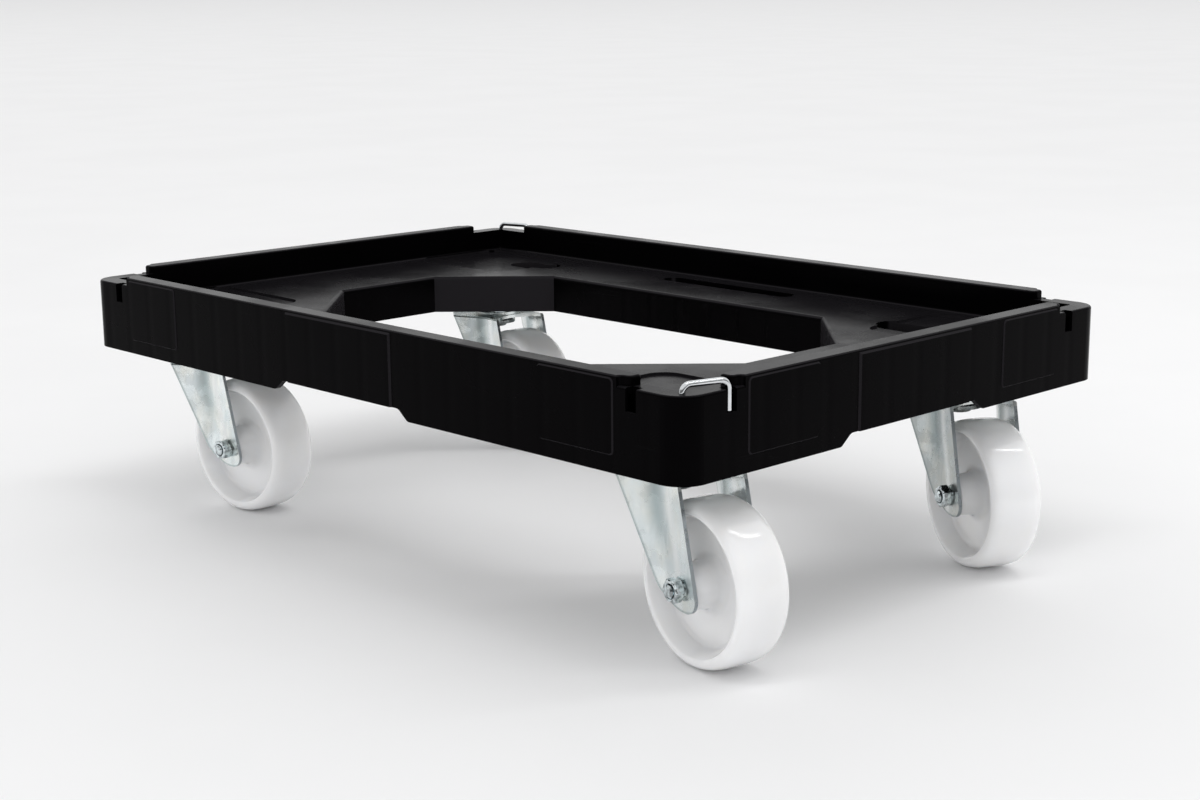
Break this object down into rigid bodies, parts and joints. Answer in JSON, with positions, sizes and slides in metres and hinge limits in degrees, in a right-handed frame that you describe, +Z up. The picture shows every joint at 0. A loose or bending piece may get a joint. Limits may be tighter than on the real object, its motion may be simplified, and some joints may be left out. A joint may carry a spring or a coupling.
{
  "type": "platform dolly",
  "caption": "Low rectangular container dolly: black moulded rim and open deck on swivel castors with white wheels, wire hooks at the corners to couple dollies.",
  "frame": {"origin": "on the floor, under the middle of the moulded frame", "axes": "+X along the long side, +Y along the short side, +Z up"},
  "size_m": [0.6309, 0.4124, 0.1779],
  "materials": {
    "frame_plastic": "satin moulded",
    "zinc_steel": "zinc plated",
    "bolt_steel": "zinc plated",
    "bearing_steel": "polished",
    "hook_wire": "bright zinc",
    "white_nylon": "moulded polyamide"
  },
  "bodies": {
    "frame": {"deck_frame": "frame_plastic", "castor_plate_front_right": "zinc_steel", "plate_screws_front_right": "bolt_steel", "kingpin_front_right": "zinc_steel", "lower_race_front_right": "zinc_steel", "castor_plate_back_right": "zinc_steel", "plate_screws_back_right": "bolt_steel", "kingpin_back_right": "zinc_steel", "lower_race_back_right": "zinc_steel", "castor_plate_front_left": "zinc_steel", "plate_screws_front_left": "bolt_steel", "kingpin_front_left": "zinc_steel", "lower_race_front_left": "zinc_steel", "castor_plate_back_left": "zinc_steel", "plate_screws_back_left": "bolt_steel", "kingpin_back_left": "zinc_steel", "lower_race_back_left": "zinc_steel"},
    "castor_front_right": {"upper_balls_front_right": "bearing_steel", "lower_balls_front_right": "bearing_steel", "castor_fork_front_right": "zinc_steel", "axle_sleeve_front_right": "bolt_steel", "axle_bolt_front_right": "bolt_steel", "axle_nut_front_right": "bolt_steel"},
    "wheel_front_right": {"castor_wheel_front_right": "white_nylon"},
    "castor_back_right": {"upper_balls_back_right": "bearing_steel", "lower_balls_back_right": "bearing_steel", "castor_fork_back_right": "zinc_steel", "axle_sleeve_back_right": "bolt_steel", "axle_bolt_back_right": "bolt_steel", "axle_nut_back_right": "bolt_steel"},
    "wheel_back_right": {"castor_wheel_back_right": "white_nylon"},
    "castor_front_left": {"upper_balls_front_left": "bearing_steel", "lower_balls_front_left": "bearing_steel", "castor_fork_front_left": "zinc_steel", "axle_sleeve_front_left": "bolt_steel", "axle_bolt_front_left": "bolt_steel", "axle_nut_front_left": "bolt_steel"},
    "wheel_front_left": {"castor_wheel_front_left": "white_nylon"},
    "castor_back_left": {"upper_balls_back_left": "bearing_steel", "lower_balls_back_left": "bearing_steel", "castor_fork_back_left": "zinc_steel", "axle_sleeve_back_left": "bolt_steel", "axle_bolt_back_left": "bolt_steel", "axle_nut_back_left": "bolt_steel"},
    "wheel_back_left": {"castor_wheel_back_left": "white_nylon"},
    "hook_front_right": {"coupling_hook_front_right": "hook_wire", "hook_retainer_front_right": "bolt_steel"},
    "hook_back_left": {"coupling_hook_back_left": "hook_wire", "hook_retainer_back_left": "bolt_steel"}
  },
  "joints": [
    {"name": "swivel_front_right", "type": "hinge", "parent": "frame", "child": "castor_front_right", "pos_m": [0.239, -0.139, 0.115], "axis": [0, 0, 1], "continuous": true},
    {"name": "spin_front_right", "type": "hinge", "parent": "castor_front_right", "child": "wheel_front_right", "pos_m": [0.27347, -0.14508, 0.05], "axis": [0.1736, 0.9848, 0], "continuous": true},
    {"name": "swivel_back_right", "type": "hinge", "parent": "frame", "child": "castor_back_right", "pos_m": [0.239, 0.139, 0.115], "axis": [0, 0, 1], "continuous": true},
    {"name": "spin_back_right", "type": "hinge", "parent": "castor_back_right", "child": "wheel_back_right", "pos_m": [0.27046, 0.12366, 0.05], "axis": [0.4384, 0.8988, 0], "continuous": true},
    {"name": "swivel_front_left", "type": "hinge", "parent": "frame", "child": "castor_front_left", "pos_m": [-0.239, -0.139, 0.115], "axis": [0, 0, 1], "continuous": true},
    {"name": "spin_front_left", "type": "hinge", "parent": "castor_front_left", "child": "wheel_front_left", "pos_m": [-0.20413, -0.13595, 0.05], "axis": [-0.0872, 0.9962, 0], "continuous": true},
    {"name": "swivel_back_left", "type": "hinge", "parent": "frame", "child": "castor_back_left", "pos_m": [-0.239, 0.139, 0.115], "axis": [0, 0, 1], "continuous": true},
    {"name": "spin_back_left", "type": "hinge", "parent": "castor_back_left", "child": "wheel_back_left", "pos_m": [-0.20408, 0.13656, 0.05], "axis": [0.0698, 0.9976, 0], "continuous": true},
    {"name": "hook_swing_front_right", "type": "hinge", "parent": "frame", "child": "hook_front_right", "pos_m": [0.2945, -0.1945, 0.165], "axis": [0, 0, -1], "range_deg": [0, 239.01]},
    {"name": "hook_swing_back_left", "type": "hinge", "parent": "frame", "child": "hook_back_left", "pos_m": [-0.2945, 0.1945, 0.165], "axis": [0, 0, 1], "range_deg": [0, 239.01]}
  ]
}
